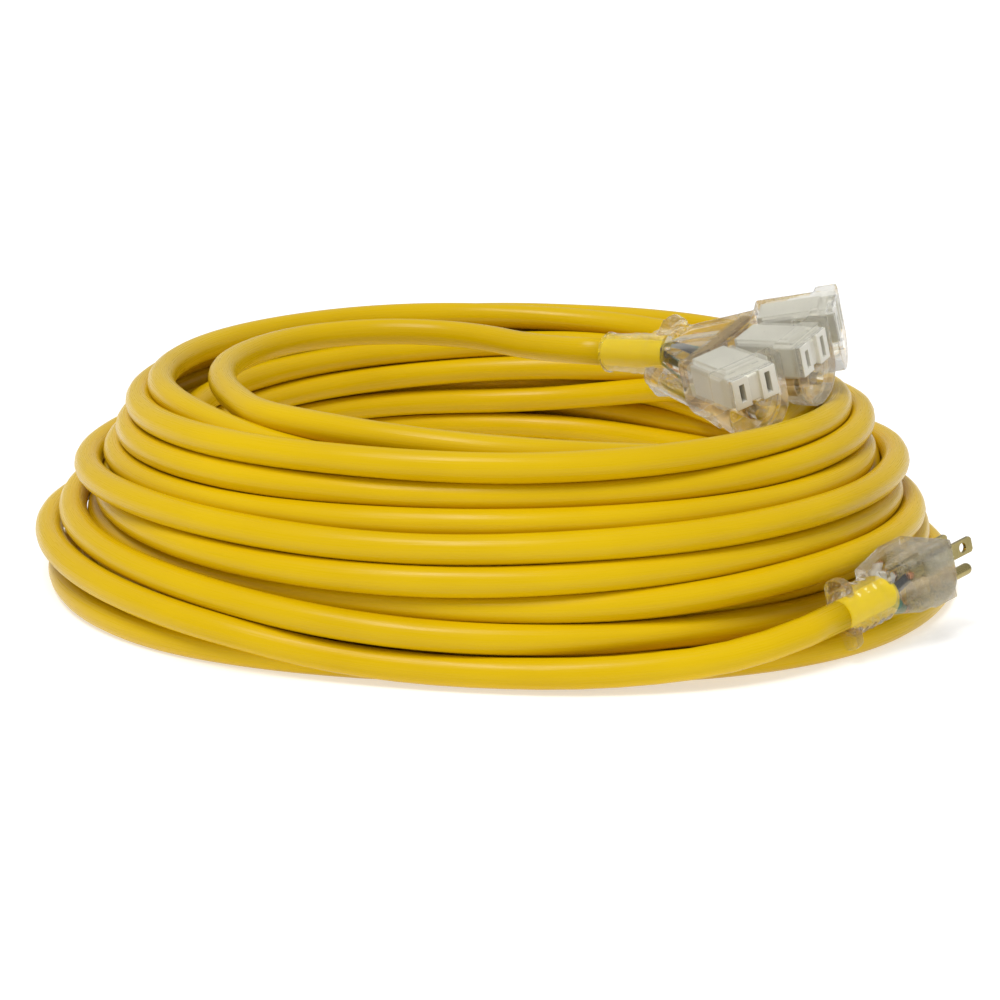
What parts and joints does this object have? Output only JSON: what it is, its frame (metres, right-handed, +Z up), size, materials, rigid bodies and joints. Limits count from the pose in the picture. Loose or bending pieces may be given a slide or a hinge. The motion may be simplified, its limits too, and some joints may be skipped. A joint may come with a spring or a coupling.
{
  "type": "coiled extension cord",
  "caption": "Heavy-duty grounded extension cord lying in a loose round coil, with a clear moulded plug on one end and a clear multi-outlet tap on the other.",
  "frame": {"origin": "on the floor under the middle of the coil", "axes": "+Z up; +X to the right and +Y away as the coil is shown, with the tap on top at right and the plug at the front right"},
  "size_m": [0.408, 0.408, 0.1254],
  "materials": {
    "yellow_jacket": "bright yellow PVC, semi-gloss, faintly wavy along its length",
    "clear_moulding": "water-clear moulded PVC, glossy, slightly grey and wavy",
    "clear_carrier": "frosted, translucent moulded plastic",
    "white_insert": "ivory-white nylon, satin",
    "brass_blades": "brushed, slightly tarnished brass",
    "spring_brass": "plain rolled brass",
    "black_insulation": "black PVC insulation",
    "white_insulation": "white PVC insulation",
    "green_insulation": "green PVC insulation",
    "bare_copper": "fine copper strands",
    "lamp_lens": "small clear neon lamp, pale orange",
    "resistor_coating": "tan lacquer"
  },
  "bodies": {
    "root": {"cord_coil": "yellow_jacket", "cord_lead_to_plug": "yellow_jacket", "cord_lead_to_tap": "yellow_jacket", "front_ground_contact": "spring_brass", "front_hot_contact": "spring_brass", "front_neutral_contact": "spring_brass", "front_outlet_insert": "white_insert", "ground_bus_bar": "spring_brass", "ground_pin": "brass_blades", "hot_blade": "brass_blades", "hot_bus_bar": "spring_brass", "indicator_lamp": "lamp_lens", "indicator_resistor": "resistor_coating", "middle_ground_contact": "spring_brass", "middle_hot_contact": "spring_brass", "middle_neutral_contact": "spring_brass", "middle_outlet_insert": "white_insert", "neutral_blade": "brass_blades", "neutral_bus_bar": "spring_brass", "plug_black_conductor": "black_insulation", "plug_blade_carrier": "clear_carrier", "plug_body": "clear_moulding", "plug_copper_ends": "bare_copper", "plug_green_conductor": "green_insulation", "plug_jacket_end": "yellow_jacket", "plug_white_conductor": "white_insulation", "rear_ground_contact": "spring_brass", "rear_hot_contact": "spring_brass", "rear_neutral_contact": "spring_brass", "rear_outlet_insert": "white_insert", "tap_black_conductor": "black_insulation", "tap_body": "clear_moulding", "tap_green_conductor": "green_insulation", "tap_jacket_end": "yellow_jacket", "tap_white_conductor": "white_insulation"}
  },
  "joints": []
}
